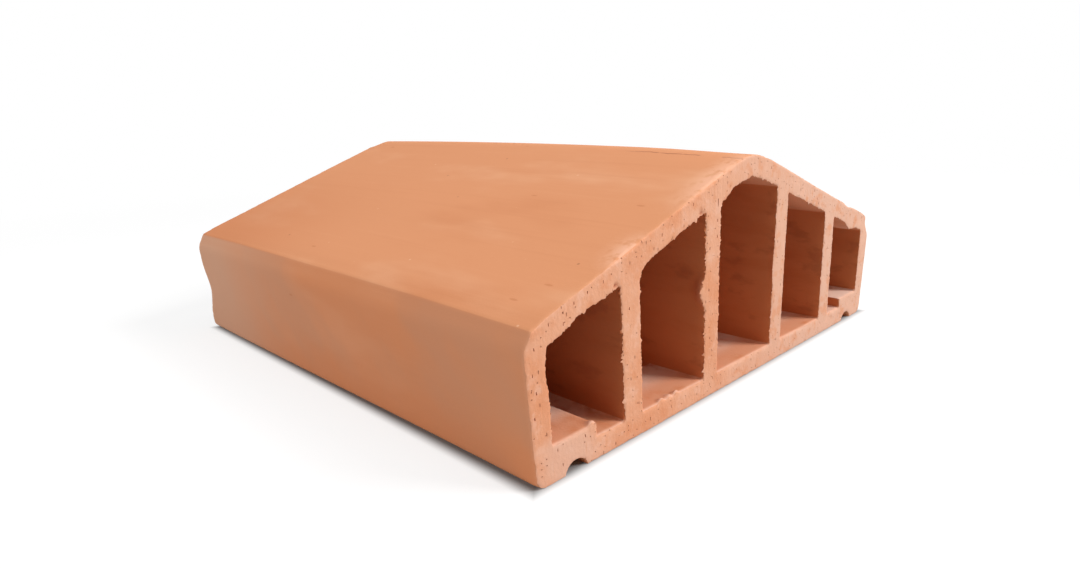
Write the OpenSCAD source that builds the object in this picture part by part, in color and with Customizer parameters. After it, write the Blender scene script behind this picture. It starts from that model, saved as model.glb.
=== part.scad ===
// Hollow clay coping brick that caps a garden wall: one extruded, wire-cut and fired piece.
// X runs across the wall, Y along it and Z up. The origin is the middle of the underside.

/* [Overall size] */
// Width across the wall, between the two eaves
brick_width = 303; // [250:1:380]
// Length along the wall, between the two wire-cut ends
brick_length = 330; // [150:1:500]
// Height at which a side face would meet its slope, before the eave is bevelled
eave_height = 65; // [54:1:90]
// Height at which the two slopes would meet, before the ridge is rounded
ridge_height = 119.5; // [95:0.5:150]
// How far each side face leans in from its eave to its foot
side_lean = 3; // [0:0.25:4]

/* [Walls and webs] */
// Thickness of the two side walls, at the eaves
side_wall = 12; // [8:0.5:16]
// Thickness of the four upright webs between the cells
web_thickness = 12.5; // [8:0.5:18]
// Thickness of the two roof slabs, measured square to their slope
roof_thickness = 11; // [7:0.5:16]
// Thickness of the floor slab
floor_thickness = 11; // [8:0.5:16]

/* [Cells] */
// How much wider the cells beside the middle are than the outermost cells
second_cell_extra = 6.75; // [0:0.25:20]
// How much wider the middle cell is than the outermost cells
middle_cell_extra = 11.75; // [0:0.25:30]
// Radius in the corners of every cell
cell_corner_radius = 1; // [0.5:0.25:2]

/* [Drip grooves and raised floors] */
// Distance from the foot of a side face to the middle of its drip groove
groove_inset = 21; // [16:0.5:30]
// Width of a drip groove at the underside
groove_width = 12; // [8:0.5:18]
// Depth of a drip groove
groove_depth = 5; // [3:0.25:8]
// Height by which the cell floor is raised above a drip groove
floor_rise = 6; // [4.5:0.25:12]
// How far the raised floor runs past the inner edge of its groove
floor_rise_margin = 6; // [2:0.5:10]

/* [Bevelled and rounded edges] */
// Radius along the ridge
ridge_radius = 28; // [4:1:60]
// How far the bevel along each eave cuts in from the side face
eave_bevel_width = 4.5; // [2:0.5:8]
// How far that bevel reaches down the side face, below the eave height
eave_bevel_drop = 7; // [4:0.5:12]
// Radius with which the bevel runs into the side face
eave_radius = 14; // [4:1:16]
// Radius of the crease between the bevel and its slope
crease_radius = 1; // [0.5:0.25:2]
// Radius along both lower edges
base_radius = 4.5; // [1:0.5:9]

/* [Hidden] */
$fn = 96;
clay_colour = [0.86, 0.59, 0.44];

// The two slopes and the feet of the side faces
half_width = brick_width / 2;
foot = half_width - side_lean;
slope = (ridge_height - eave_height) / half_width;
pitch = atan(slope);
roof_drop = roof_thickness / cos(pitch);
function roof(x) = ridge_height - slope * x;
function ceiling(x) = roof(x) - roof_drop;

// Where an eave's bevel starts on the side face and where it ends on the slope
bevel_foot = eave_height - eave_bevel_drop;
bevel_top = half_width - eave_bevel_width;

// The five cells share the width that the walls and webs leave
clear_width = brick_width - 2 * side_wall - 4 * web_thickness;
outer_cell_width = (clear_width - 2 * second_cell_extra - middle_cell_extra) / 5;
second_cell_width = outer_cell_width + second_cell_extra;
middle_cell_width = outer_cell_width + middle_cell_extra;

// Where each cell starts and ends, measured from the middle plane
middle_end = middle_cell_width / 2;
second_start = middle_end + web_thickness;
second_end = second_start + second_cell_width;
outer_start = second_end + web_thickness;
outer_end = half_width - side_wall;

// A drip groove is part of a circle, and the raised floor above it keeps the clay thick there
groove_x = foot - groove_inset;
groove_radius = (pow(groove_width / 2, 2) + pow(groove_depth, 2)) / (2 * groove_depth);
rise_start = groove_x - groove_width / 2 - floor_rise_margin;
raised_floor = floor_thickness + floor_rise;

// How far past its corner a rounding patch is drawn, as a share of its radius
patch_reach = 1.25;
// How far an arc overlaps the two lines that it joins, so that it always crosses them cleanly
arc_overlap = 0.004;

function unit(v) = v / norm(v);

// Which way an outline turns at a corner: above 0 at a convex one, below 0 at a re-entrant one
function turn_at(before, corner, after) = cross(corner - before, after - corner);

// The piece between a sharp corner and the arc that rounds it
module corner_patch(before, corner, after, radius) {
    to_before = unit(before - corner);
    to_after = unit(after - corner);
    half_angle = acos(to_before * to_after) / 2;
    tangent = radius / tan(half_angle);
    centre = corner + unit(to_before + to_after) * radius / sin(half_angle);
    kite = [centre, corner + to_before * tangent, corner, corner + to_after * tangent];
    difference() {
        polygon([for (point = kite) centre + (point - centre) * patch_reach]);
        translate(centre) circle(radius + arc_overlap);
    }
}

// An outline, counter-clockwise, with one radius for each of its corners
module rounded_outline(points, radii) {
    count = len(points);
    function before(i) = points[(i + count - 1) % count];
    function after(i) = points[(i + 1) % count];
    function turn(i) = turn_at(before(i), points[i], after(i));
    difference() {
        union() {
            polygon(points);
            for (i = [0 : count - 1])
                if (turn(i) < 0) corner_patch(before(i), points[i], after(i), radii[i]);
        }
        for (i = [0 : count - 1])
            if (turn(i) > 0) corner_patch(before(i), points[i], after(i), radii[i]);
    }
}

// A cell rounds all its corners alike
module cell(points) {
    rounded_outline(points, [for (point = points) cell_corner_radius]);
}

// The cell under the ridge, with a peaked ceiling
module middle_cell() {
    cell([
        [-middle_end, floor_thickness],
        [middle_end, floor_thickness],
        [middle_end, ceiling(middle_end)],
        [0, ceiling(0)],
        [-middle_end, ceiling(middle_end)]
    ]);
}

// The cell beside the middle one, on the +X side
module second_cell() {
    cell([
        [second_start, floor_thickness],
        [second_end, floor_thickness],
        [second_end, ceiling(second_end)],
        [second_start, ceiling(second_start)]
    ]);
}

// The outermost cell, on the +X side, whose floor is raised above the drip groove
module outer_cell() {
    cell([
        [outer_start, floor_thickness],
        [rise_start, floor_thickness],
        [rise_start, raised_floor],
        [outer_end, raised_floor],
        [outer_end, ceiling(outer_end)],
        [outer_start, ceiling(outer_start)]
    ]);
}

// The drip groove under the +X eave
module drip_groove() {
    translate([groove_x, groove_depth - groove_radius]) circle(groove_radius);
}

// The gabled outline with its rounded lower edges, bevelled eaves and rounded ridge
module gable_outline() {
    rounded_outline(
        [
            [-foot, 0],
            [foot, 0],
            [half_width, bevel_foot],
            [bevel_top, roof(bevel_top)],
            [0, ridge_height],
            [-bevel_top, roof(bevel_top)],
            [-half_width, bevel_foot]
        ],
        [base_radius, base_radius, eave_radius, crease_radius, ridge_radius, crease_radius, eave_radius]
    );
}

// The section that the die gives the clay, drawn with its width along X and its height along Y
module die_section() {
    difference() {
        gable_outline();
        middle_cell();
        for (side = [0, 1])
            mirror([side, 0]) {
                second_cell();
                outer_cell();
                drip_groove();
            }
    }
}

// The fired piece: the section drawn out along the wall and cut square at both ends
module coping_brick() {
    color(clay_colour)
        rotate([90, 0, 0])
            linear_extrude(height = brick_length, center = true)
                die_section();
}

coping_brick();
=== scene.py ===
# %% [markdown]
# # A hollow clay coping brick
# The real piece is one length of clay. A press pushes it through a steel die, a wire cuts it to
# length, and a kiln fires it. So its outline is the same from end to end, its long faces are
# smooth from the die, and its two ends are rough from the wire.
# This lesson follows the same order. It takes the die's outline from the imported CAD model, pulls
# it into a fine mesh, wears that mesh as a wire and a kiln would, and paints it with clay.

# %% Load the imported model
import math
import random
from typing import NamedTuple

import bmesh
import bpy
from mathutils import Matrix, Vector, kdtree, noise


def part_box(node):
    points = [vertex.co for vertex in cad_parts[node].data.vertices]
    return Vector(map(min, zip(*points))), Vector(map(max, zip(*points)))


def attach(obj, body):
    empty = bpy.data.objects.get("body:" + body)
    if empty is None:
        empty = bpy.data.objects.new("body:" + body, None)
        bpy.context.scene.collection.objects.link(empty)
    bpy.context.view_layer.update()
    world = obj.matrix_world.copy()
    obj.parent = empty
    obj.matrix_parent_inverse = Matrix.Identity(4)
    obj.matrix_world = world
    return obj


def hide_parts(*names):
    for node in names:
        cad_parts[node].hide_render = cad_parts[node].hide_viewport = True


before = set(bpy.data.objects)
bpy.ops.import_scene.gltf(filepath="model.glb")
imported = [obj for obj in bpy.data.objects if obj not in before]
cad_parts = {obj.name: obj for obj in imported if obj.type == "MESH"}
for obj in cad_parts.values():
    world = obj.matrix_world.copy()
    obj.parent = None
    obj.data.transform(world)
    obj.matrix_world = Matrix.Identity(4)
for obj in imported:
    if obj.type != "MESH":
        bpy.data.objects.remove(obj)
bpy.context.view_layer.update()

MM = 0.001
cad_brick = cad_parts["coping_brick"]
cad_low, cad_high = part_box("coping_brick")
half_length = cad_high.y
brick_height = cad_high.z
print("CAD box in mm:", [round(side / MM, 1) for side in cad_high - cad_low])

# %% [markdown]
# ## Where the viewer stands
# The brick is seen from its front left corner, a little above the ridge, through a wide lens that
# is close by. The far end therefore looks much smaller than the near one. A camera can be aimed
# with a constraint, but here the three directions of its own axes are worked out and put in its
# matrix, because the camera is also rolled by two degrees.

# %% Make the camera
IMAGE_WIDTH = 1080
SENSOR_WIDTH = 36.0
NEAREST_SEEN = 10 * MM
focal_pixels = 682.1
shift_pixels = 40
camera_place = Vector((-299.0, -337.2, 142.5)) * MM
azimuth = math.radians(-45.66)
elevation = math.radians(18.2)
roll = math.radians(-2.0)

backward = Vector((
    math.sin(azimuth) * math.cos(elevation),
    -math.cos(azimuth) * math.cos(elevation),
    math.sin(elevation),
))
level_right = Vector((0, 0, 1)).cross(backward).normalized()
level_up = backward.cross(level_right)
camera_right = level_right * math.cos(roll) + level_up * math.sin(roll)
camera_up = level_up * math.cos(roll) - level_right * math.sin(roll)

lens = bpy.data.cameras.new("camera")
lens.sensor_fit = "HORIZONTAL"
lens.sensor_width = SENSOR_WIDTH
lens.lens = focal_pixels / IMAGE_WIDTH * SENSOR_WIDTH
lens.shift_x = -shift_pixels / IMAGE_WIDTH
lens.shift_y = shift_pixels / IMAGE_WIDTH
lens.clip_start = NEAREST_SEEN
camera = bpy.data.objects.new("camera", lens)
camera.matrix_world = Matrix.LocRotScale(
    camera_place, Matrix((camera_right, camera_up, backward)).transposed(), None
)
bpy.context.scene.collection.objects.link(camera)
bpy.context.scene.camera = camera
print("Lens in mm:", round(lens.lens, 2))

# %% [markdown]
# ## The die's outline
# Every cross-section of the brick is the same, so the outline need not be drawn a second time:
# a copy of the CAD model is sawn across its middle, and both halves are thrown away. What is left
# is the saw line, one loop round the outside and one round each of the five cells.

# %% Saw a copy of the solid and keep the saw line
SAME_POINT = 0.001 * MM
SHORTEST_EDGE = 0.4 * MM


def split_into_loops(vertices):
    """Sort outline points into closed loops, the outside first, then the cells from the left."""
    waiting = set(vertices)
    loops = []
    for vertex in vertices:
        if vertex not in waiting:
            continue
        waiting.remove(vertex)
        loop = [vertex]
        for member in loop:
            for edge in member.link_edges:
                neighbour = edge.other_vert(member)
                if neighbour in waiting:
                    waiting.remove(neighbour)
                    loop.append(neighbour)
        loops.append(loop)
    return sorted(loops, key=lambda loop: min(vertex.co.x for vertex in loop))


clay = bmesh.new()
clay.from_mesh(cad_brick.data)
bmesh.ops.remove_doubles(clay, verts=clay.verts, dist=SAME_POINT)
bmesh.ops.bisect_plane(
    clay,
    geom=clay.verts[:] + clay.edges[:] + clay.faces[:],
    plane_co=(0, 0, 0),
    plane_no=(0, 1, 0),
    clear_inner=True,
    clear_outer=True,
)
bmesh.ops.remove_doubles(clay, verts=clay.verts, dist=SHORTEST_EDGE)
saw_lines = split_into_loops(clay.verts[:])
print("Points on each saw line:", [len(loop) for loop in saw_lines])

# %% [markdown]
# ## The end face
# An end face is a frame round five holes. Triangle fill closes it in one step, while the outlines
# still have few points. Then the outlines get evenly spaced points, twice as many round the cells,
# because their edges will be torn.

# %% Fill the end face and space the points
SKIN_SPACING = 1.6 * MM
CELL_SPACING = 0.8 * MM

bmesh.ops.triangle_fill(clay, edges=clay.edges[:], use_beauty=True, normal=(0, -1, 0))
edges_by_cuts = {}
for cell, loop in enumerate(saw_lines):
    spacing = CELL_SPACING if cell else SKIN_SPACING
    rim = [edge for vertex in loop for edge in vertex.link_edges if edge.is_boundary]
    for edge in dict.fromkeys(rim):
        cuts = math.ceil(edge.calc_length() / spacing) - 1
        edges_by_cuts.setdefault(cuts, []).append(edge)
for cuts, edges in edges_by_cuts.items():
    if cuts > 0:
        bmesh.ops.subdivide_edges(clay, edges=edges, cuts=cuts)
print("Outline points:", len(clay.verts))

# %% [markdown]
# The filling leaves long splinters that can't bend. So a narrow ring is inset along every outline
# and split in two, and the field between the rings is cut by planes into a plain grid. The slanting
# edges of the first filling are dissolved, which leaves four-sided tiles, and points that ended up
# almost on top of each other are welded.

# %% Divide the end face
END_SETBACK = 0.5 * MM
RING_WIDTH = 1.5 * MM
TILE_WIDTH = 1.5 * MM
TILE_HEIGHT = 2.5 * MM
STRAIGHT = 0.0001 * MM
WELD = 0.01 * MM


def cut_into_tiles(faces):
    """Cut flat end faces along a grid, and dissolve what slants across it."""
    pieces = faces[:]
    for face in faces:
        pieces += face.edges[:] + face.verts[:]
    pieces = list(dict.fromkeys(pieces))
    columns = int(cad_high.x / TILE_WIDTH)
    rows = int(brick_height / TILE_HEIGHT)
    planes = [((column * TILE_WIDTH, 0, 0), (1, 0, 0)) for column in range(-columns, columns + 1)]
    planes += [((0, 0, row * TILE_HEIGHT), (0, 0, 1)) for row in range(1, rows + 1)]
    for place, direction in planes:
        cut_through = bmesh.ops.bisect_plane(clay, geom=pieces, plane_co=place, plane_no=direction)
        pieces = cut_through["geom"]
    tiles = {piece for piece in pieces if isinstance(piece, bmesh.types.BMFace)}
    slanting = []
    for edge in clay.edges:
        span = edge.verts[1].co - edge.verts[0].co
        inside = all(face in tiles for face in edge.link_faces)
        if inside and abs(span.x) > STRAIGHT and abs(span.z) > STRAIGHT:
            slanting.append(edge)
    bmesh.ops.dissolve_edges(clay, edges=slanting, use_verts=True)


field = clay.faces[:]
bmesh.ops.inset_region(
    clay, faces=field, thickness=RING_WIDTH, use_boundary=True, use_even_offset=True
)
ring_edges = [
    edge for edge in clay.edges if edge.verts[0].is_boundary != edge.verts[1].is_boundary
]
bmesh.ops.subdivide_edges(clay, edges=ring_edges, cuts=1)
cut_into_tiles(field)
bmesh.ops.remove_doubles(clay, verts=clay.verts[:], dist=WELD)
bmesh.ops.translate(clay, verts=clay.verts[:], vec=(0, END_SETBACK - half_length, 0))
print("End face tiles:", len(clay.faces))

# %% [markdown]
# ## Pulling the clay through the die
# The outlines are extruded along the brick in steps. The steps are short at the cut end, where
# edges are ragged, and long in the middle, where the faces are smooth. Extruding makes its edges and
# faces in no fixed order, so they are put in the order of their points, and every run gives the same
# mesh. Only half of the brick is pulled: a mirror makes the other half and welds it on in the
# middle. A mirror turns faces inside out, so the normals are recalculated once the shell is closed.

# %% Extrude half the brick and mirror it
FIRST_STEP = 0.5 * MM
STEP_GROWTH = 1.35
LONGEST_STEP = 20 * MM
LAST_STEP_GROWTH = 1.5

front_edges = [edge for edge in clay.edges if edge.is_boundary]
step = FIRST_STEP
to_middle = half_length - END_SETBACK
while to_middle > 0:
    if to_middle < LAST_STEP_GROWTH * step:
        step = to_middle
    pulled = bmesh.ops.extrude_edge_only(clay, edges=front_edges)["geom"]
    moved = {part for part in pulled if isinstance(part, bmesh.types.BMVert)}
    bmesh.ops.translate(clay, verts=list(moved), vec=(0, step, 0))
    front_edges = [
        part for part in pulled
        if isinstance(part, bmesh.types.BMEdge) and all(vertex in moved for vertex in part.verts)
    ]
    to_middle -= step
    step = min(step * STEP_GROWTH, LONGEST_STEP)

clay.verts.index_update()
for parts in (clay.edges, clay.faces):
    in_order = sorted(parts, key=lambda part: sorted(vertex.index for vertex in part.verts))
    rank = {part: number for number, part in enumerate(in_order)}
    parts.sort(key=rank.get)

bmesh.ops.mirror(
    clay, geom=clay.verts[:] + clay.edges[:] + clay.faces[:], axis="Y", merge_dist=WELD
)
bmesh.ops.recalc_face_normals(clay, faces=clay.faces[:])
closed = all(edge.is_manifold for edge in clay.edges)
print("Clay points:", len(clay.verts), "closed:", closed)
print("Volume in cm3:", round(clay.calc_volume() * 1e6))

# %% [markdown]
# ## Notes on every point
# Wear depends on where a point lies: how deep it is behind a cut end, how far across the end face
# it is from the nearest outline, and which way is out of the clay there. These notes are taken
# once, on the unworn brick, so that each later step can use them. The points in the middle of the
# brick know the outline and its direction, and a tree of them answers for all the others.

# %% Map the outlines in the middle of the brick
clay.normal_update()
middle = [vertex for vertex in clay.verts if abs(vertex.co.y) < SAME_POINT]
outline_notes = []
outline_tree = kdtree.KDTree(len(middle))
for cell, loop in enumerate(split_into_loops(middle)):
    for vertex in loop:
        outline_tree.insert((vertex.co.x, 0, vertex.co.z), len(outline_notes))
        outline_notes.append((vertex.normal.copy(), cell))
outline_tree.balance()
print("Points in the middle of the brick:", len(outline_notes))

# %% [markdown]
# Each point gets a record with its notes. Two numbers will travel with the mesh. One, called rim,
# says how much of the pale cut clay shows: on the lips of the floors, along the outer edge, and most
# at the two places where the wire rolled the edge over and smeared the clay on to the roof. The
# other, called pit, will say how far a point is in a hole, where the paint darkens it as painted
# shade. Vertex groups could hold them too, but the paint reads an attribute with a single node.

# %% Note where each point lies
RIM_DEPTH = 2.4 * MM
WORN_EDGE = 0.2
ROLLED_DEPTH = 16 * MM
ROLLED_PLACES = (((-28, -165, 107), 45), ((-93, -165, 86), 20))


class Spot(NamedTuple):
    """Where a point of the unworn brick lies."""

    rest: Vector
    depth: float
    gap: float
    out: Vector
    cell: int
    end: int


def fade(distance, reach):
    """1 at no distance, easing to 0 at the reach."""
    share = min(max(1 - distance / reach, 0.0), 1.0)
    return share * share * (3 - 2 * share)


def rolled_at(place):
    """How much the wire rolled the outer edge over near a place, from 0 to 1."""
    shares = []
    for middle, reach in ROLLED_PLACES:
        shares.append(fade((place - Vector(middle) * MM).length, reach * MM))
    return max(shares)


rim_note = clay.verts.layers.float.new("rim")
pit_note = clay.verts.layers.float.new("pit")
spots = {}
for vertex in clay.verts:
    _, nearest, gap = outline_tree.find((vertex.co.x, 0, vertex.co.z))
    out, cell = outline_notes[nearest]
    depth = half_length - END_SETBACK - abs(vertex.co.y)
    end = 1 if vertex.co.y > 0 else -1
    gap = gap if gap > SAME_POINT else 0.0
    spots[vertex] = Spot(vertex.co.copy(), depth, gap, out, cell, end)
    if cell > 0:
        vertex[rim_note] = max(out.z, 0) * fade(depth, RIM_DEPTH)
    else:
        smeared = rolled_at(vertex.co) * fade(depth, ROLLED_DEPTH)
        vertex[rim_note] = max(smeared, WORN_EDGE * fade(depth, RIM_DEPTH))
print("Points noted:", len(spots))

# %% [markdown]
# Three finishes will be painted: the skin from the die, the cut ends and the insides of the cells.
# The faces could be picked by hand in edit mode, but the notes already tell them apart. A face is
# part of a cut end if none of its corners lies behind the end. The others take the finish of the
# outline that they run along.

# %% Tell the three kinds of face apart
SKIN, CUT, CELL = range(3)

for face in clay.faces:
    corners = [spots[vertex] for vertex in face.verts]
    deepest = max(corner.depth for corner in corners)
    if deepest < SAME_POINT:
        face.material_index = CUT
    else:
        face.material_index = CELL if corners[0].cell else SKIN
print("Faces on the cut ends:", sum(face.material_index == CUT for face in clay.faces))

# %% [markdown]
# ## Drying
# Clay shrinks and sags as it dries, and no long face stays quite flat. A displace modifier with a
# texture could ripple the faces, but it can't tell an upright from a roof, as the next steps must.
# So the points are moved in code, by smooth noise that is stretched along the brick, as the die's
# own ripples are.

# %% Ripple the long faces
SKIN_RIPPLE = 0.3 * MM
CELL_RIPPLE = 0.5 * MM
RIPPLE_LENGTH = 22 * MM
DIE_STRETCH = 6.0
NOISE_STEP = Vector((7.3, 3.1, 5.7))


def ripple(place, length, seed):
    """Smooth noise from about -1 to 1, with waves of that length."""
    return noise.noise(place / length + NOISE_STEP * seed)


def from_zero(wave):
    """A wave from -1 to 1 as one from 0 to 1."""
    return 0.5 + 0.5 * wave


deepest = 0.0
for vertex, spot in spots.items():
    if spot.gap == 0:
        along_die = Vector((spot.rest.x, spot.rest.y / DIE_STRETCH, spot.rest.z))
        depth_of_ripple = SKIN_RIPPLE if spot.cell == 0 else CELL_RIPPLE
        vertex.co -= spot.out * depth_of_ripple * from_zero(ripple(along_die, RIPPLE_LENGTH, seed=1))
        deepest = max(deepest, (vertex.co - spot.rest).length)
print("Deepest ripple in mm:", round(deepest / MM, 2))

# %% [markdown]
# The uprights lean a little. A lattice could push them over together, but each one leans its own
# way. So a table gives, in millimetres, where each upright stands and how far it is off at its foot
# and at its top. The clay between two uprights goes along with both.

# %% Lean the uprights
UPRIGHTS = (
    (-145.0, 0.0, 0.0),
    (-92.5, 2.8, -0.6),
    (-32.5, 1.6, 0.4),
    (32.5, 0.5, 0.6),
    (92.5, 0.5, -1.6),
    (145.0, 0.0, 0.0),
)


def lean_at(place):
    """How far the uprights near a place stand off to the side, in metres."""
    across = min(max(place.x / MM, UPRIGHTS[0][0]), UPRIGHTS[-1][0])
    left, right = next(pair for pair in zip(UPRIGHTS, UPRIGHTS[1:]) if across <= pair[1][0])
    share = (across - left[0]) / (right[0] - left[0])
    foot = left[1] + (right[1] - left[1]) * share
    top = left[2] + (right[2] - left[2]) * share
    return (foot + (top - foot) * place.z / brick_height) * MM


farthest = 0.0
for vertex, spot in spots.items():
    lean = lean_at(spot.rest)
    vertex.co.x += lean
    farthest = max(farthest, abs(lean))
print("Farthest lean in mm:", round(farthest / MM, 2))

# %% [markdown]
# The eaves waver, and the ridge droops towards both ends, most at the near one. A curve modifier
# could bend the whole brick, but the underside must stay flat on the floor. So the droop grows with
# the height of a point.

# %% Waver the eaves and droop the ridge
EAVE_WAVER = 1.0 * MM
EAVE_WAVES = 38 * MM
EAVE_REACH = 10 * MM
NEAR_DROOP = 1.7 * MM
FAR_DROOP = 1.3 * MM
eave_crease = Vector((147, 66.6)) * MM

for vertex, spot in spots.items():
    if spot.cell == 0:
        from_eave = Vector((abs(spot.rest.x), spot.rest.z)) - eave_crease
        waver = ripple(Vector((math.copysign(1, spot.rest.x), spot.rest.y, 0)), EAVE_WAVES, seed=6)
        vertex.co.z -= EAVE_WAVER * from_zero(waver) * fade(from_eave.length, EAVE_REACH)
    droop = NEAR_DROOP if spot.end < 0 else FAR_DROOP
    vertex.co.z -= droop * (spot.rest.y / half_length) ** 2 * spot.rest.z / brick_height
print("Highest point in mm:", round(max(vertex.co.z for vertex in clay.verts) / MM, 2))

# %% [markdown]
# ## The wire-cut ends
# A wire leaves an end that is flat but not smooth, and rolls the outer edge over as it goes in.
# A bevel would round every edge by the same amount. Here the radius changes along the edge, so
# each point near it is moved on to a quarter circle: points on the end face take its first half,
# and points on the long face its second half.

# %% Round the outer edges and roughen the ends
EDGE_RADIUS = 0.4 * MM
ROLLED_RADIUS = 1.6 * MM
CELL_EDGE_RADIUS = 0.3 * MM
FLOOR_EDGE_RADIUS = 1.4 * MM
UNEVEN_SHARE = 0.4
UNEVEN_LENGTH = 14 * MM
FACE_WAVE = 0.25 * MM
FACE_WAVE_DEPTH = 4 * MM
WIDE_WAVE = 9 * MM
FINE_WAVE = 4 * MM
WIDE_WAVE_SHARE = 0.6
FINE_WAVE_SHARE = 0.4
HALF_CORNER = math.radians(45)


def edge_radius(spot):
    """The radius that the wire left on the edge near a spot."""
    if spot.cell > 0:
        return CELL_EDGE_RADIUS + FLOOR_EDGE_RADIUS * max(spot.out.z, 0) ** 2
    uneven = 1 + UNEVEN_SHARE * ripple(spot.rest, UNEVEN_LENGTH, seed=2)
    return (EDGE_RADIUS + ROLLED_RADIUS * rolled_at(spot.rest)) * uneven


def round_edge(spot):
    """How far a spot near an edge moves into the clay, and how far back from the end."""
    radius = edge_radius(spot)
    along = spot.gap if spot.depth < SAME_POINT else spot.depth
    if along >= radius:
        return 0.0, 0.0
    if spot.depth < SAME_POINT:
        turn = HALF_CORNER * (1 - along / radius)
        return radius * (1 - math.sin(turn)) - along, radius * (1 - math.cos(turn))
    turn = HALF_CORNER * (1 + along / radius)
    return radius * (1 - math.sin(turn)), radius * (1 - math.cos(turn)) - along


for vertex, spot in spots.items():
    inward, back = round_edge(spot)
    vertex.co -= spot.out * inward
    vertex.co.y -= spot.end * back
    if spot.depth < FACE_WAVE_DEPTH:
        wave = WIDE_WAVE_SHARE * ripple(spot.rest, WIDE_WAVE, seed=3)
        wave += FINE_WAVE_SHARE * ripple(spot.rest, FINE_WAVE, seed=4)
        vertex.co.y -= spot.end * FACE_WAVE * from_zero(wave) * fade(spot.depth, FACE_WAVE_DEPTH)
print("Rolled edge radius in mm:", round((EDGE_RADIUS + ROLLED_RADIUS) / MM, 1))

# %% [markdown]
# ## Torn cell edges
# Where the wire leaves the clay at a cell it drags crumbs with it, and where it enters it breaks
# bits out. The edges that face left and the ceilings are the worst, the floors are cleaner, and
# the cells on the right are calmer than those on the left. Two sizes of noise along the edge make
# the tears: points on the edge move most, and the rings on the end face and the first rows inside
# the cell follow less and less. The outer edge is only nibbled, so that it stays in its outline.

# %% Tear the edges of the cells
TEAR_DEPTH = 1.4 * MM
TEAR_WIDTH = 1.4 * MM
TEAR_LEFT = 1.0 * MM
TEAR_RIGHT = 0.6 * MM
TEAR_CEILING = 0.9 * MM
TEAR_FLOOR = 0.3 * MM
TEAR_OUTSIDE = 0.4 * MM
FINE_TEAR = 1.0 * MM
WIDE_TEAR = 3.6 * MM
FINE_TEAR_SHARE = 0.9
WIDE_TEAR_SHARE = 0.45
TEAR_GAIN = 1.3
CRUMB_START = 0.25
CRUMB_GAIN = 2.0
BACK_SHARE = 0.5
BACK_LENGTH = 2.6 * MM
CALM_SHARE = 0.5
CALM_FROM = 60 * MM
CALM_REACH = 120 * MM


def tear_size(spot):
    """How ragged the edge is at a spot, from the way that the clay faces there."""
    if spot.cell == 0:
        return TEAR_OUTSIDE
    sideways = TEAR_LEFT * max(-spot.out.x, 0) ** 2 + TEAR_RIGHT * max(spot.out.x, 0) ** 2
    upright = TEAR_CEILING * max(-spot.out.z, 0) ** 2 + TEAR_FLOOR * max(spot.out.z, 0) ** 2
    calm = CALM_SHARE * fade(CALM_FROM - spot.rest.x, CALM_REACH)
    return (sideways + upright) * (1 - calm)


for vertex, spot in spots.items():
    if spot.depth > TEAR_DEPTH or spot.gap > TEAR_WIDTH:
        continue
    share = fade(spot.depth, TEAR_DEPTH) * fade(spot.gap, TEAR_WIDTH)
    size = tear_size(spot) * share
    edge_place = spot.rest - spot.out * spot.gap
    torn = FINE_TEAR_SHARE * ripple(edge_place, FINE_TEAR, seed=5)
    torn += WIDE_TEAR_SHARE * ripple(edge_place, WIDE_TEAR, seed=6)
    if spot.cell == 0:
        torn = min(torn, 0.0)
    crumb = max(torn - CRUMB_START, 0.0)
    back = from_zero(ripple(edge_place, BACK_LENGTH, seed=7))
    vertex.co += spot.out * size * (TEAR_GAIN * torn + CRUMB_GAIN * crumb)
    vertex.co.y -= spot.end * size * BACK_SHARE * back
edge_spots = [spot for spot in spots.values() if spot.depth < SAME_POINT and spot.gap == 0]
print("Edge points torn:", len(edge_spots))

# %% [markdown]
# ## Marks of its own
# This brick also has marks that no noise gives: a clod of clay stuck on the second web, crumbs on
# two floors, holes over two corners, a thick haunch in the ceiling of the last cell, worn eaves and
# nicks at the far end. Each is a soft push on the points round one place, as a sculpting brush
# makes it, with its middle, its reach each way and its push in millimetres. Its last numbers say
# how much pale cut clay it shows, and how much painted shade it gets as the dark inside of a hole.

# %% Push in the single marks


class Mark(NamedTuple):
    """A push on the points round a place, in millimetres."""

    name: str
    middle: tuple
    reach: tuple
    push: tuple
    pale: float = 0.0
    # how much painted shade the inside of a hole gets, from 0 to 1
    hole: float = 0.0


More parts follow.
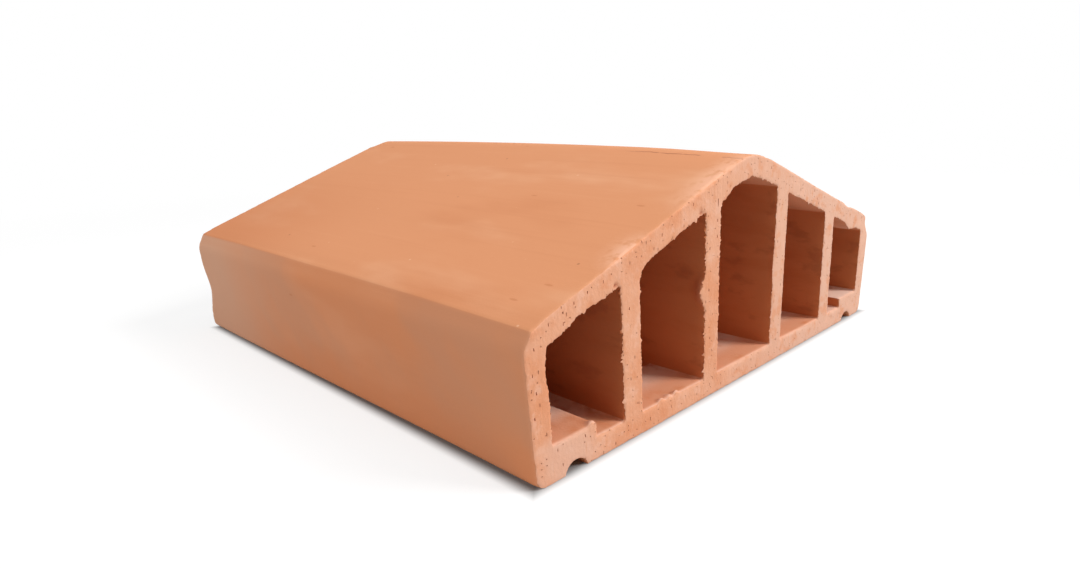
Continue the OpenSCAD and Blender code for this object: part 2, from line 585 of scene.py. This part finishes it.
MARKS = (
    Mark("sunken ridge at the near end", (-2, -165, 117), (24, 70, 14), (0, 0, -1.0)),
    Mark("upright foot of the far left side", (-149, 165, 0), (14, 330, 60), (-2.4, 0, 0)),
    Mark("high ceiling of the first cell", (-120, 0, 64), (24, 900, 8), (0, 0, 1.8)),
    Mark("thin wall of the first cell", (-139.5, 0, 48), (5, 900, 15), (-1.5, 0, 0)),
    Mark("clod on the second web", (-40, -164, 56), (4.5, 7, 10), (-4.6, -0.1, 0), 0.35),
    Mark("haunch in the last cell", (121, -160, 63), (13, 40, 6), (0, 0, -3.0), 0.5),
    Mark("thick corner of the second cell", (-86, -160, 77), (6, 30, 6), (1.4, 0, -1.6)),
    Mark("low peak of the middle cell", (1, -165, 106), (16, 60, 8), (1.2, 0, -1.6)),
    Mark("sagging ceiling of the middle cell", (-22, -162, 98), (12, 16, 6), (0.6, 0, -2.2)),
    Mark("crumb on the first step", (-117.5, -164, 17), (3.5, 5, 3.5), (-0.4, -0.2, 1.6), 1.0),
    Mark("hole over the first cell", (-101.5, -164.5, 73.1), (2.4, 2, 1.6), (0, 1.0, 0), 0.0, 1.0),
    Mark("hole over the second cell", (-42.6, -164.5, 94.2), (2.4, 2, 1.6), (0, 1.0, 0), 0.0, 1.0),
    Mark("first crumb on the second floor", (-72, -163.8, 11), (3.5, 3, 3), (0, -0.1, 1.5), 1.0),
    Mark("second crumb on the second floor", (-66, -163, 11), (3, 3, 3), (0.4, -0.2, 1.1), 1.0),
    Mark("third crumb on the second floor", (-60.5, -163.6, 11), (3.5, 3, 3), (0, -0.1, 1.6), 1.0),
    Mark("worn left eave", (-151, -165, 61), (6, 4, 6), (0.1, 0.4, -0.1)),
    Mark("worn right eave", (151, -163, 62), (9, 25, 11), (-2.6, 0.5, -0.8)),
    Mark("dip behind the right eave", (117, -160, 77), (11, 35, 5), (0, 0, -1.2)),
    Mark("worn near foot", (-149, -165, 2), (6, 5, 5), (0.4, 0.4, 0.4)),
    Mark("drag on the third web", (25, -164.5, 55), (3, 4, 17), (-1.2, 0, 0)),
    Mark("drag under the fourth ceiling", (84, -164.5, 73), (3, 4, 3.5), (-1.5, 0, 0)),
    Mark("nick in the far ridge", (-6, 165, 115), (10, 6, 6), (0, -3.0, -1.2)),
    Mark("nick in the far left edge", (-150, 165, 28), (8, 12, 20), (1.2, -3.2, 0)),
)

for mark in MARKS:
    touched = 0
    for vertex, spot in spots.items():
        off = spot.rest / MM - Vector(mark.middle)
        share = fade(math.hypot(*(part / reach for part, reach in zip(off, mark.reach))), 1.0)
        if share > 0:
            vertex.co += Vector(mark.push) * MM * share
            vertex[rim_note] = max(vertex[rim_note], mark.pale * share)
            vertex[pit_note] = max(vertex[pit_note], mark.hole * share)
            touched += 1
    print(mark.name, "moves", touched, "points")

# %% [markdown]
# ## Pits and slits
# Grit and air leave holes in the cut ends. A hole could be cut out with a boolean, but the tiles of
# the end face are already of the right size, so the whole, four-sided ones are looked up.

# %% Find the whole tiles of an end
SMALLEST_TILE = 2.0 * MM * MM
FACING_OUT = 0.9


def tiles_of(end):
    """The whole tiles of one end face, with a tree of their middles."""
    tiles = []
    for face in clay.faces:
        on_end = face.material_index == CUT and face.normal.y * end > FACING_OUT
        if on_end and len(face.verts) == 4 and face.calc_area() > SMALLEST_TILE:
            tiles.append(face)
    tree = kdtree.KDTree(len(tiles))
    for index, tile in enumerate(tiles):
        tree.insert(tile.calc_center_median(), index)
    tree.balance()
    return tiles, tree


clay.normal_update()
print("Whole tiles on the near end:", len(tiles_of(-1)[0]))

# %% [markdown]
# One inset leaves a frame of plain clay, the corners inside it are shaken a little, and a second
# inset with a negative depth sinks the hole. Two tiles above each other make a slit. The holes that
# stand out have their places, across and up in millimetres.

# %% Sink the holes that stand out
PIT_FRAME = 0.52 * MM
PIT_RIM = 0.08 * MM
PIT_DEPTH = 0.45 * MM
PIT_SHAKE = 0.12 * MM
PIT_SEED = 11
NEAR_PITS = (
    (-149.5, 49), (-146, 57.5), (-148.4, 31), (-143.6, 45), (-137, 15), (-71, 88.5), (-131, 73.6),
    (-121, 75.5), (-108, 76), (19.5, 108), (73, 83.5), (-41.5, 55),
    (-87.5, 17), (-147, 40), (-92, 60), (-33, 30), (30, 87),
)
NEAR_SLITS = ((-28.6, 94), (-121.5, 13))
ONE_TILE = ((0, 0),)
TWO_TALL = ((0, 0), (0, TILE_HEIGHT))
chance = random.Random(PIT_SEED)


def sink(faces):
    """Sink tiles into the clay as one uneven hole."""
    bmesh.ops.inset_region(
        clay, faces=faces, thickness=PIT_FRAME, use_boundary=True, use_even_offset=True
    )
    for vertex in dict.fromkeys(vertex for face in faces for vertex in face.verts):
        vertex.co.x += chance.uniform(-PIT_SHAKE, PIT_SHAKE)
        vertex.co.z += chance.uniform(-PIT_SHAKE, PIT_SHAKE)
    bmesh.ops.inset_region(
        clay,
        faces=faces,
        thickness=PIT_RIM,
        depth=-PIT_DEPTH,
        use_boundary=True,
        use_even_offset=True,
    )
    for face in faces:
        for vertex in face.verts:
            vertex[pit_note] = 1.0


def sink_at(end, places, steps):
    """Sink the tiles of an end face that lie nearest to each place and those steps away from it."""
    tiles, tree = tiles_of(end)
    end_place = end * (half_length - END_SETBACK)
    taken = set()
    for across, up in places:
        hole = []
        for right, above in steps:
            index = tree.find((across * MM + right, end_place, up * MM + above))[1]
            if index not in taken:
                taken.add(index)
                hole.append(tiles[index])
        if hole:
            sink(hole)
    return len(taken)


sunk = sink_at(-1, NEAR_PITS, ONE_TILE)
sunk += sink_at(-1, NEAR_SLITS, TWO_TALL)
print("Tiles sunk at their places:", sunk)

# %% [markdown]
# More holes are scattered over both ends. A particle system could scatter copies of a hole, but it
# can't sink them into the mesh. So their places are drawn from a generator, which is seeded so that
# every run gives the same brick.

# %% Scatter holes over both ends
SCATTERED_PITS = 18
LOWEST_PIT = 2
HIGHEST_PIT = 110

for end in (-1, 1):
    scattered = []
    for _ in range(SCATTERED_PITS):
        across = chance.uniform(cad_low.x, cad_high.x) / MM
        scattered.append((across, chance.uniform(LOWEST_PIT, HIGHEST_PIT)))
    clay.normal_update()
    sunk += sink_at(end, scattered, ONE_TILE)
print("Tiles sunk in all:", sunk)

# %% [markdown]
# ## From clay to object
# Two notes travel with the mesh as attributes, so that the paint can follow the surface: how much
# pale cut clay shows at a point, and how far it is in a hole. Faces are shaded smooth, and edges
# that turn sharply are kept sharp, so that rims stay crisp and the long faces stay soft.
# The finished mesh stands for the CAD solid and rides on the only body that there is.

# %% Make the brick object
SHARP_ANGLE = math.radians(40)

for face in clay.faces:
    face.smooth = True
for edge in clay.edges:
    edge.smooth = edge.calc_face_angle(0.0) < SHARP_ANGLE

mesh = bpy.data.meshes.new("clay_brick")
clay.to_mesh(mesh)
clay.free()
brick = bpy.data.objects.new("clay_brick", mesh)
bpy.context.scene.collection.objects.link(brick)
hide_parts("coping_brick")
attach(brick, "root")
mesh.calc_loop_triangles()
print("Triangles:", len(mesh.loop_triangles))

# %% [markdown]
# ## Tools for painting clay
# Every finish below is made of nodes. They could be dragged together in the shader editor, but then
# every one would have to be wired by hand, so a helper adds a node and wires it up. Colours are
# written as a paint chart gives them, from 0 to 255, and turned into the linear light that Blender
# works in.

# %% Helpers that add nodes


def chart(red, green, blue):
    """A colour from a paint chart in linear light, by the curve that screens use."""
    parts = [part / 255 for part in (red, green, blue)]
    linear = [part / 12.92 if part <= 0.04045 else ((part + 0.055) / 1.055) ** 2.4 for part in parts]
    return (*linear, 1.0)


def feed(tree, node, inputs):
    """Link or set these inputs of a node."""
    for name, value in inputs.items():
        if isinstance(value, bpy.types.NodeSocket):
            tree.links.new(value, node.inputs[name])
        else:
            node.inputs[name].default_value = value


def add(tree, kind, inputs, **settings):
    """Add a node with these settings and inputs."""
    made = tree.nodes.new("ShaderNode" + kind)
    for name, value in settings.items():
        setattr(made, name, value)
    feed(tree, made, inputs)
    return made


def start_clay(name):
    """A new material, with its tree, its shader and the place on the object."""
    material = bpy.data.materials.new(name)
    material.use_nodes = True
    tree = material.node_tree
    place = add(tree, "TexCoord", {}).outputs["Object"]
    return material, tree, tree.nodes["Principled BSDF"], place


fired_orange = chart(219, 149, 106)
print("Fired orange in linear light:", [round(part, 3) for part in fired_orange])

# %% [markdown]
# ## The skin from the die
# The die polishes the outside to a smooth orange skin. The kiln's heat leaves broad clouds of paler
# and redder clay on it, and the die's edge leaves faint streaks along the brick. One noise texture
# could do the clouds alone, but streaks need noise that is stretched along the brick, so both are
# layered. Helpers keep the layers readable: one stretches and turns a pattern, one gives soft clouds,
# one picks out part of a pattern, and one lays a colour over another.

# %% Lay clouds and streaks on the skin
CLOUD_ROUGHNESS = 0.55
fired_red = chart(204, 129, 85)
fired_pale = chart(229, 169, 131)


def stretch(tree, place, scale, turn=(0, 0, 0)):
    """A place with its axes scaled, and turned by angles in degrees."""
    inputs = {"Vector": place, "Scale": scale, "Rotation": [math.radians(angle) for angle in turn]}
    return add(tree, "Mapping", inputs).outputs["Vector"]


def clouds(tree, place, scale, detail=3.0):
    """Soft noise from 0 to 1, with about that many waves in a unit of the place."""
    inputs = {"Vector": place, "Scale": scale, "Detail": detail, "Roughness": CLOUD_ROUGHNESS}
    return add(tree, "TexNoise", inputs).outputs["Fac"]


def ramp(tree, value, start, end):
    """0 up to the start value, 1 from the end value on, and smooth between them."""
    inputs = {"Value": value, "From Min": start, "From Max": end}
    return add(tree, "MapRange", inputs, interpolation_type="SMOOTHSTEP").outputs["Result"]


def times(tree, first, second):
    """One value times another."""
    return add(tree, "Math", {0: first, 1: second}, operation="MULTIPLY").outputs[0]


def lay(tree, under, over, pattern, strength=1.0):
    """One colour laid over another by a pattern, at no more than that strength."""
    share = pattern if strength == 1.0 else times(tree, pattern, strength)
    return add(tree, "Mix", {0: share, 6: under, 7: over}, data_type="RGBA").outputs[2]


skin, tree, shader, place = start_clay("die_polished_skin")
along = stretch(tree, place, scale=(1, 0.35, 1))
red_clouds = ramp(tree, clouds(tree, along, scale=11, detail=4), start=0.50, end=0.74)
pale_clouds = ramp(tree, clouds(tree, along, scale=17, detail=4), start=0.53, end=0.76)
streaks = clouds(tree, stretch(tree, place, scale=(260, 5, 260)), scale=1.0, detail=2.0)
colour = lay(tree, fired_orange, fired_red, red_clouds)
colour = lay(tree, colour, fired_pale, pale_clouds)
colour = lay(tree, colour, fired_red, ramp(tree, streaks, start=0.55, end=0.85), strength=0.2)
colour = lay(tree, colour, fired_pale, ramp(tree, streaks, start=0.45, end=0.15), strength=0.15)
print("Skin nodes with clouds and streaks:", len(tree.nodes))

# %% [markdown]
# The outside is not one tone everywhere. The far left of the roof is redder and darker. The upright
# sides are painted redder, as painted warm light that falls on them. On the sides lie slanting brown
# smears, a redder strip along the foot and an ashen far end. A
# brush could paint all this, but where a face lies and which way it points tell it as well.

# %% Redden the far left and the sides
side_red = chart(222, 139, 92)
side_brown = chart(206, 146, 112)
side_ashen = chart(220, 170, 140)


def axes_of(tree, vector):
    """The X, Y and Z of a place or a direction."""
    return add(tree, "SeparateXYZ", {"Vector": vector}).outputs


def facing_of(tree):
    """The X, Y and Z of the way that the surface faces."""
    return axes_of(tree, add(tree, "NewGeometry", {}).outputs["Normal"])


def unsigned(tree, value):
    """A value without its sign."""
    return add(tree, "Math", {0: value}, operation="ABSOLUTE").outputs[0]


axes = axes_of(tree, place)
far_half = ramp(tree, axes["Y"], start=0, end=150 * MM)
left_half = ramp(tree, axes["X"], start=-40 * MM, end=-140 * MM)
colour = lay(tree, colour, fired_red, times(tree, far_half, left_half), strength=0.7)

sideways = ramp(tree, unsigned(tree, facing_of(tree)["X"]), start=0.6, end=0.95)
turned = stretch(tree, place, scale=(1, 1, 1), turn=(45, 0, 0))
slanting = stretch(tree, turned, scale=(1, 1, 0.45))
smeared = ramp(tree, clouds(tree, slanting, scale=19), start=0.42, end=0.68)
low_down = ramp(tree, axes["Z"], start=30 * MM, end=2 * MM)
far_off = ramp(tree, axes["Y"], start=10 * MM, end=150 * MM)
# The upright sides are painted redder: painted warm light on them.
colour = lay(tree, colour, side_red, sideways, strength=0.6)
colour = lay(tree, colour, side_brown, times(tree, sideways, smeared), strength=0.6)
colour = lay(tree, colour, side_red, times(tree, sideways, low_down), strength=0.6)
colour = lay(tree, colour, side_ashen, times(tree, sideways, far_off), strength=0.8)
print("Skin nodes with the sides:", len(tree.nodes))

# %% [markdown]
# Handling leaves tiny specks and short scuffs. Each is the middle of a cell in a Voronoi pattern,
# and only a share of the cells shows one. A thin crack wanders beside the ridge at the near end. It
# is the narrow strip where the place across the brick, shifted by soft noise, is close to zero.

# %% Add specks, scuffs and a crack
speck_pale = chart(236, 190, 158)
speck_dark = chart(165, 98, 66)
crack_brown = chart(165, 98, 66)
SPECK_CORE = 0.45
SPECK_FULL = 0.8
CRACK_BESIDE_RIDGE = 8 * MM
CRACK_WANDER = 5 * MM
CRACK_HALF_WIDTH = 0.55 * MM
CRACK_HALF_CORE = 0.15 * MM


def specks(tree, place, scale, size, share, flat=True):
    """Round spots of about that size in a cell of the pattern, in a share of the cells."""
    dimensions = "2D" if flat else "3D"
    inputs = {"Vector": place, "Scale": scale}
    cells = add(tree, "TexVoronoi", inputs, voronoi_dimensions=dimensions).outputs
    spot = ramp(tree, cells["Distance"], start=size, end=SPECK_CORE * size)
    draw = add(tree, "SeparateColor", {"Color": cells["Color"]}).outputs["Red"]
    return times(tree, spot, ramp(tree, draw, start=1 - share, end=1 - SPECK_FULL * share))


rubbed = stretch(tree, place, scale=(1, 0.3, 1), turn=(0, 0, 30))
pale_specks = specks(tree, place, scale=110, size=0.08, share=0.20, flat=False)
dark_specks = specks(tree, place, scale=85, size=0.08, share=0.20, flat=False)
scuffs = specks(tree, rubbed, scale=75, size=0.07, share=0.5, flat=False)
colour = lay(tree, colour, speck_pale, pale_specks, strength=0.6)
colour = lay(tree, colour, speck_dark, dark_specks, strength=0.6)
colour = lay(tree, colour, fired_red, scuffs, strength=0.7)

wander = add(tree, "MapRange", {
    "Value": clouds(tree, place, scale=35, detail=4),
    "To Min": CRACK_BESIDE_RIDGE - 0.5 * CRACK_WANDER,
    "To Max": CRACK_BESIDE_RIDGE + 0.5 * CRACK_WANDER,
}).outputs["Result"]
off_crack = add(tree, "Math", {0: axes["X"], 1: wander}, operation="ADD").outputs[0]
crack_line = ramp(tree, unsigned(tree, off_crack), start=CRACK_HALF_WIDTH, end=CRACK_HALF_CORE)
near_end = ramp(tree, axes["Y"], start=-85 * MM, end=-110 * MM)
broken = ramp(tree, clouds(tree, place, scale=90, detail=2), start=0.38, end=0.5)
crack = times(tree, times(tree, crack_line, near_end), broken)
colour = lay(tree, colour, crack_brown, crack, strength=0.75)
print("Skin nodes with specks and crack:", len(tree.nodes))

# %% [markdown]
# Pale clay shows where the rim note says that the wire smeared it over the edge. Last come a fine
# grain, which also makes the roughness uneven, and the relief of the streaks, the grain and the
# crack. It is too fine for the mesh, so bump gives it.

# %% Finish the skin
worn_pale = chart(238, 180, 148)


def note(tree, name):
    """A note that travels with the mesh."""
    return add(tree, "Attribute", {}, attribute_name=name).outputs["Fac"]


def emboss(tree, height, distance, before=None):
    """Bump of that many metres, on top of an earlier one."""
    inputs = {"Height": height, "Distance": distance, "Strength": 1.0}
    if before is not None:
        inputs["Normal"] = before
    return add(tree, "Bump", inputs).outputs["Normal"]


patchy = ramp(tree, clouds(tree, place, scale=240), start=0.30, end=0.55)
colour = lay(tree, colour, worn_pale, times(tree, note(tree, "rim"), patchy))
grain = clouds(tree, place, scale=900)
rough = add(tree, "MapRange", {"Value": grain, "To Min": 0.74, "To Max": 0.92}).outputs["Result"]
surface = emboss(tree, streaks, distance=0.06 * MM)
surface = emboss(tree, grain, distance=0.06 * MM, before=surface)
surface = emboss(tree, crack, distance=-0.3 * MM, before=surface)
feed(tree, shader, {
    "Base Color": colour,
    "Roughness": rough,
    "Specular IOR Level": 0.25,
    "Normal": surface,
})
print("Skin nodes:", len(tree.nodes))

# %% [markdown]
# ## The wire-cut face
# The wire opens the inside of the clay, so the ends are paler, pinker and grittier than the skin.
# They are clouded and mottled with orange and pale clay, and ashen towards the right and in a patch
# over the left groove. The ashen clay has its places, so a ramp across the brick and the distance
# from a point give it, and noise gives the rest.

# %% Lay the pinks and oranges of the cut ends
cut_pink = chart(233, 169, 134)
cut_orange = chart(226, 150, 108)
cut_pale = chart(239, 187, 160)
cut_ashen = chart(230, 184, 160)
ashen_place = Vector((-131, -165, 9)) * MM
ashen_reach = 20 * MM
ashen_core = 8 * MM

cut, tree, shader, place = start_clay("wire_cut_face")
orange_clouds = ramp(tree, clouds(tree, place, scale=26, detail=4), start=0.45, end=0.72)
pale_clouds = ramp(tree, clouds(tree, place, scale=41, detail=4), start=0.54, end=0.78)
to_the_right = ramp(tree, axes_of(tree, place)["X"], start=-70 * MM, end=80 * MM)
colour = lay(tree, cut_pink, cut_orange, orange_clouds)
colour = lay(tree, colour, cut_pale, pale_clouds, strength=0.7)
colour = lay(tree, colour, cut_ashen, to_the_right, strength=0.85)

mottle = clouds(tree, place, scale=130)
from_to = {0: place, 1: ashen_place}
off_patch = add(tree, "VectorMath", from_to, operation="DISTANCE").outputs["Value"]
ashen_patch = ramp(tree, off_patch, start=ashen_reach, end=ashen_core)
colour = lay(tree, colour, cut_orange, ramp(tree, mottle, start=0.5, end=0.7), strength=0.6)
colour = lay(tree, colour, cut_pale, ramp(tree, mottle, start=0.45, end=0.3), strength=0.5)
colour = lay(tree, colour, cut_ashen, ashen_patch, strength=0.65)
print("Cut face nodes with its clouds:", len(tree.nodes))

# %% [markdown]
# Up and down scores show which way the wire went. Small holes are too many to model, so beside the
# sunk tiles the finish has its own pits and slits, which are sunk by bump and painted dark as painted
# shade inside them. The sunk tiles get the same painted shade. Their pattern is flat, and it is
# turned so that it lies in the plane of the end.

# %% Score and pit the cut ends
pit_shade_red = chart(176, 101, 70)

scores = clouds(tree, stretch(tree, place, scale=(520, 60, 60)), scale=1.0, detail=2.0)
grain = clouds(tree, place, scale=650)
colour = lay(tree, colour, cut_orange, ramp(tree, scores, start=0.55, end=0.85), strength=0.5)
colour = lay(tree, colour, cut_pale, ramp(tree, grain, start=0.55, end=0.75), strength=0.4)

in_plane = stretch(tree, place, scale=(1, 1, 1), turn=(90, 0, 0))
tall = stretch(tree, place, scale=(1, 1, 0.3), turn=(90, 0, 0))
pits = specks(tree, in_plane, scale=330, size=0.12, share=0.25)
slits = specks(tree, tall, scale=380, size=0.11, share=0.10)
# Painted shade inside the pits and slits, and on the last line inside the sunk tiles.
colour = lay(tree, colour, pit_shade_red, pits, strength=0.7)
colour = lay(tree, colour, pit_shade_red, slits, strength=0.7)
colour = lay(tree, colour, pit_shade_red, note(tree, "pit"))

surface = emboss(tree, scores, distance=0.12 * MM)
surface = emboss(tree, grain, distance=0.25 * MM, before=surface)
surface = emboss(tree, pits, distance=-0.5 * MM, before=surface)
surface = emboss(tree, slits, distance=-0.5 * MM, before=surface)
feed(tree, shader, {
    "Base Color": colour,
    "Roughness": 0.95,
    "Specular IOR Level": 0.15,
    "Normal": surface,
})
print("Cut face nodes:", len(tree.nodes))

# %% [markdown]
# ## Inside the cells
# The cells are the same fired clay, but little light reaches into them, so their colours are painted
# darker and redder than the skin, as painted shade. Their faces are streaked along the die and
# smudged, and the first cell is painted darkest, as more painted shade. The finish of the skin
# could serve again, but it is too pale and too clean here.

# %% Streak and smudge the cells
shaded_cell_red = chart(206, 125, 79)
shaded_cell_deep = chart(200, 117, 72)
cell_smudge_and_shade = chart(172, 98, 62)

cells, tree, shader, place = start_clay("cell_skin")
axes = axes_of(tree, place)
smears = clouds(tree, stretch(tree, place, scale=(60, 18, 90)), scale=1.0, detail=4)
smudged = clouds(tree, stretch(tree, place, scale=(1, 0.6, 1.4)), scale=75, detail=4)
first_cell_shade = ramp(tree, axes["X"], start=-85 * MM, end=-105 * MM)
# The base colours are painted shade: darker and redder than the clay of the skin.
colour = lay(tree, shaded_cell_red, shaded_cell_deep, ramp(tree, smears, start=0.42, end=0.70))
colour = lay(tree, colour, cell_smudge_and_shade, ramp(tree, smudged, start=0.56, end=0.70), strength=0.5)
# Painted shade that darkens the first cell.
colour = lay(tree, colour, cell_smudge_and_shade, first_cell_shade, strength=0.35)
print("Cell nodes with smudges:", len(tree.nodes))

# %% [markdown]
# Dust lies on the floors. Near the ends the floors are more orange, but not in the last cell. The
# ceilings are painted paler near the ends, as painted bounce light. All this is found from which way
# a face points and where it lies, so it needs no painting by hand.

# %% Dust the floors
cell_dust = chart(234, 196, 176)
cell_orange = chart(221, 142, 98)

upward = facing_of(tree)["Z"]
from_middle = unsigned(tree, axes["Y"])
lying = ramp(tree, upward, start=0.5, end=0.9)
dusty = ramp(tree, clouds(tree, place, scale=60, detail=4), start=0.26, end=0.50)
orange_near_ends = times(tree, lying, ramp(tree, from_middle, start=136 * MM, end=155 * MM))
orange_near_ends = times(tree, orange_near_ends, ramp(tree, axes["X"], start=100 * MM, end=88 * MM))
hanging = ramp(tree, upward, start=-0.5, end=-0.9)
painted_ceiling_light = times(tree, hanging, ramp(tree, from_middle, start=100 * MM, end=160 * MM))
colour = lay(tree, colour, cell_dust, times(tree, lying, dusty))
colour = lay(tree, colour, cell_orange, orange_near_ends, strength=0.8)
# Painted bounce light on the ceilings near the ends.
colour = lay(tree, colour, cut_pink, painted_ceiling_light, strength=0.6)
colour = lay(tree, colour, cut_pale, note(tree, "rim"), strength=0.8)

surface = emboss(tree, smears, distance=0.08 * MM)
grain = clouds(tree, place, scale=800)
surface = emboss(tree, grain, distance=0.12 * MM, before=surface)
feed(tree, shader, {
    "Base Color": colour,
    "Roughness": 0.9,
    "Specular IOR Level": 0.2,
    "Normal": surface,
})
for material in (skin, cut, cells):
    mesh.materials.append(material)
print("Materials on the brick:", [material.name for material in mesh.materials])

# %% [markdown]
# ## A white floor
# The brick stands on a plain floor, one flat face that is wide enough for every view. A plane could
# be added by an operator, but a bmesh grid needs no selection. The floor lies a hair below the
# underside, so that the two never share a plane.

# %% Make the floor
FLOOR_SIZE = 6.0
FLOOR_DROP = 0.02 * MM

flat = bmesh.new()
bmesh.ops.create_grid(flat, x_segments=1, y_segments=1, size=FLOOR_SIZE)
bmesh.ops.translate(flat, verts=flat.verts, vec=(0, 0, -FLOOR_DROP))
floor_mesh = bpy.data.meshes.new("floor")
flat.to_mesh(floor_mesh)
flat.free()
floor = bpy.data.objects.new("floor", floor_mesh)
bpy.context.scene.collection.objects.link(floor)
print("Floor in m:", 2 * FLOOR_SIZE)

# %% [markdown]
# A floor that is white only by strong lamps would burn out the clay. So for the camera it is mostly
# a steady white, with a share of true shading that keeps the shadow. Right under the brick the
# steady white fades out, so that the contact stays dark, and far away the floor goes over to plain
# white. For light that bounces off it, the floor is a plain grey.

# %% Paint the floor white
STEADY_WHITE = 0.74
SHADED_WHITE = 0.30
BOUNCE_GREY = 0.6
CONTACT_WIDTH = 4 * MM
PLAIN_START = 0.45
PLAIN_END = 1.1


def larger(tree, first, second):
    """The larger of two values."""
    return add(tree, "Math", {0: first, 1: second}, operation="MAXIMUM").outputs[0]


def seen(tree):
    """1 for rays that show the surroundings to the camera, straight or by gloss or glass."""
    path = add(tree, "LightPath", {}).outputs
    by_way = larger(tree, path["Is Glossy Ray"], path["Is Transmission Ray"])
    return larger(tree, path["Is Camera Ray"], by_way)


def matt(tree, grey):
    """A matt grey."""
    return add(tree, "BsdfDiffuse", {"Color": (grey, grey, grey, 1)}).outputs[0]


def steady(tree, strength):
    """A steady white of that strength, whatever light falls on it."""
    return add(tree, "Emission", {"Color": (1, 1, 1, 1), "Strength": strength}).outputs[0]


def blend(tree, share, first, second):
    """One shader going over to another."""
    return add(tree, "MixShader", {0: share, 1: first, 2: second}).outputs[0]


paper = bpy.data.materials.new("white_floor")
paper.use_nodes = True
tree = paper.node_tree
tree.nodes.clear()
place = add(tree, "TexCoord", {}).outputs["Object"]
away = add(tree, "VectorMath", {0: place}, operation="LENGTH").outputs["Value"]
mirrored = add(tree, "VectorMath", {0: place}, operation="ABSOLUTE").outputs["Vector"]
less_edge = {0: mirrored, 1: cad_high}
past = axes_of(tree, add(tree, "VectorMath", less_edge, operation="SUBTRACT").outputs["Vector"])
outside = larger(tree, past["X"], past["Y"])
in_the_open = ramp(tree, outside, start=-CONTACT_WIDTH, end=CONTACT_WIDTH)
shaded = matt(tree, SHADED_WHITE)
lit = add(tree, "AddShader", {0: steady(tree, STEADY_WHITE), 1: shaded}).outputs[0]
near = blend(tree, in_the_open, shaded, lit)
shown = blend(tree, ramp(tree, away, start=PLAIN_START, end=PLAIN_END), near, steady(tree, 1.0))
both = blend(tree, seen(tree), matt(tree, BOUNCE_GREY), shown)
add(tree, "OutputMaterial", {"Surface": both})
floor_mesh.materials.append(paper)
print("Floor nodes:", len(tree.nodes))

# %% [markdown]
# ## Plain soft light
# The main lamp is in front, to the right and above, so the cut end is brightest, the left side is in
# shade and no light falls straight on the sides of the webs that show. A weak lamp overhead and one
# on the left lift the top and the shaded side. A sky picture could do this as well, but lamps are
# easier to place. The surroundings are white to the camera, but give only a little light.

# %% Light it
SURROUND_LIGHT = 0.16


def soft_lamp(name, spot, size, power):
    """A square soft lamp that points at the middle of the brick."""
    light = bpy.data.lights.new(name, "AREA")
    light.shape = "SQUARE"
    light.size = size
    light.energy = power
    lamp = bpy.data.objects.new(name, light)
    aim = Vector((0, 0, brick_height / 2)) - Vector(spot)
    lamp.matrix_world = Matrix.LocRotScale(Vector(spot), aim.to_track_quat("-Z", "Y"), None)
    bpy.context.scene.collection.objects.link(lamp)


soft_lamp("main_lamp", spot=(1.5, -2.25, 2.0), size=1.2, power=90)
soft_lamp("top_lamp", spot=(0.0, -0.2, 2.1), size=1.8, power=18)
soft_lamp("side_lamp", spot=(-1.9, 0.2, 1.0), size=1.2, power=14.5)

world = bpy.data.worlds.new("surroundings")
world.use_nodes = True
bpy.context.scene.world = world
tree = world.node_tree
tree.nodes.clear()
dim = add(tree, "Background", {"Color": (1, 1, 1, 1), "Strength": SURROUND_LIGHT}).outputs[0]
bright = add(tree, "Background", {"Color": (1, 1, 1, 1), "Strength": 1.0}).outputs[0]
add(tree, "OutputWorld", {"Surface": blend(tree, seen(tree), dim, bright)})
bpy.context.scene.view_settings.view_transform = "Standard"
